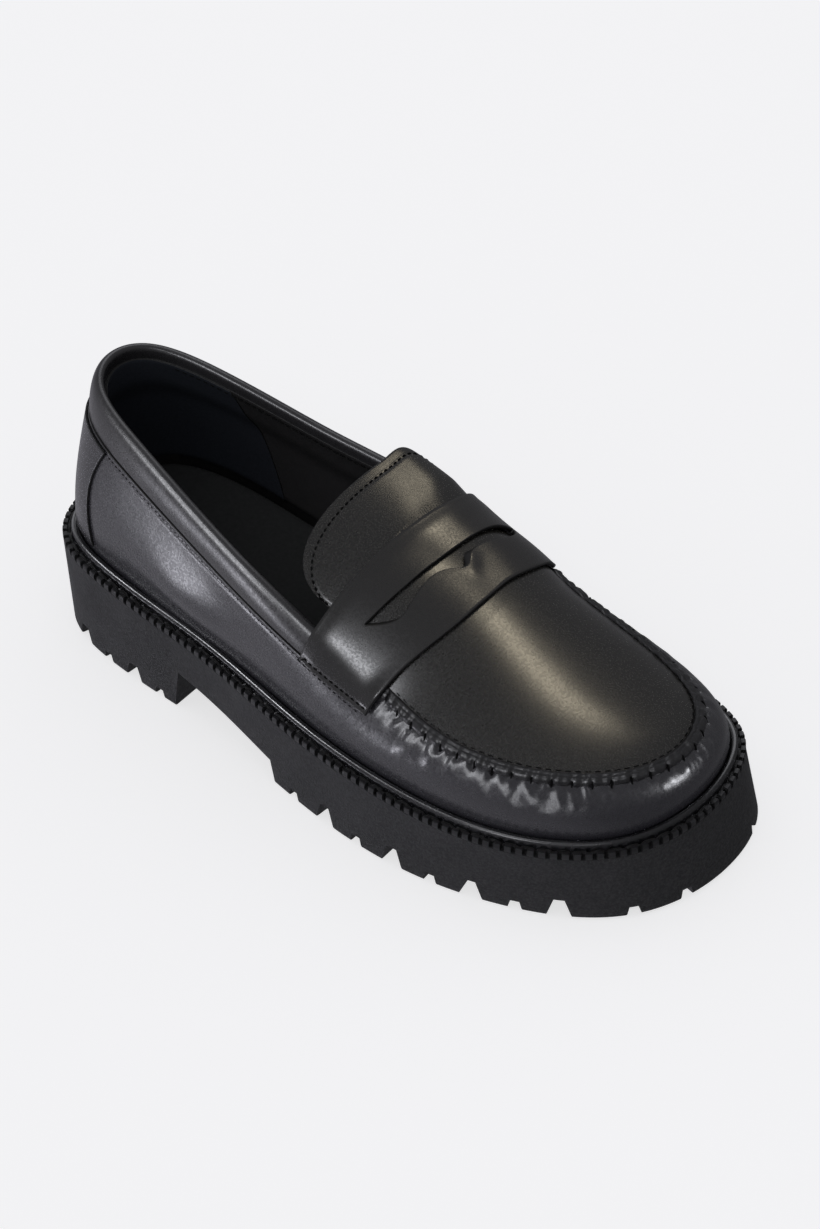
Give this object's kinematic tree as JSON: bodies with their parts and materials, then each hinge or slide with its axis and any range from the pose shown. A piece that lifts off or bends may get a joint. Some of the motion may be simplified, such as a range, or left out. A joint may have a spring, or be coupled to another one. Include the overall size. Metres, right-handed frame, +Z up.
{
  "type": "slip-on loafer",
  "caption": "Right penny loafer with a moccasin apron toe, slotted saddle strap, padded collar, stitched storm welt and a thick lugged rubber sole with a heel.",
  "frame": {"origin": "centre of the bounding box in plan, on the ground under the sole", "axes": "+X from heel to toe, +Y towards the inner (medial) side, +Z up"},
  "size_m": [0.2786, 0.115, 0.1047],
  "materials": {
    "sole_rubber": "matte moulded rubber",
    "welt_rubber": "glossy bead",
    "welt_edge_rubber": "matte notched edge",
    "lining": "black sock lining",
    "upper_leather": "semi-gloss black leather",
    "apron_leather": "satin black leather",
    "collar_leather": "satin black leather, padded",
    "strap_leather": "semi-gloss black leather"
  },
  "bodies": {
    "root": {"outsole": "sole_rubber", "welt": "welt_rubber", "welt_edge": "welt_edge_rubber", "insole": "lining", "upper": "upper_leather", "collar": "collar_leather", "back_strip": "upper_leather", "tongue": "apron_leather", "strap": "strap_leather", "apron_seam": "upper_leather"}
  },
  "joints": []
}
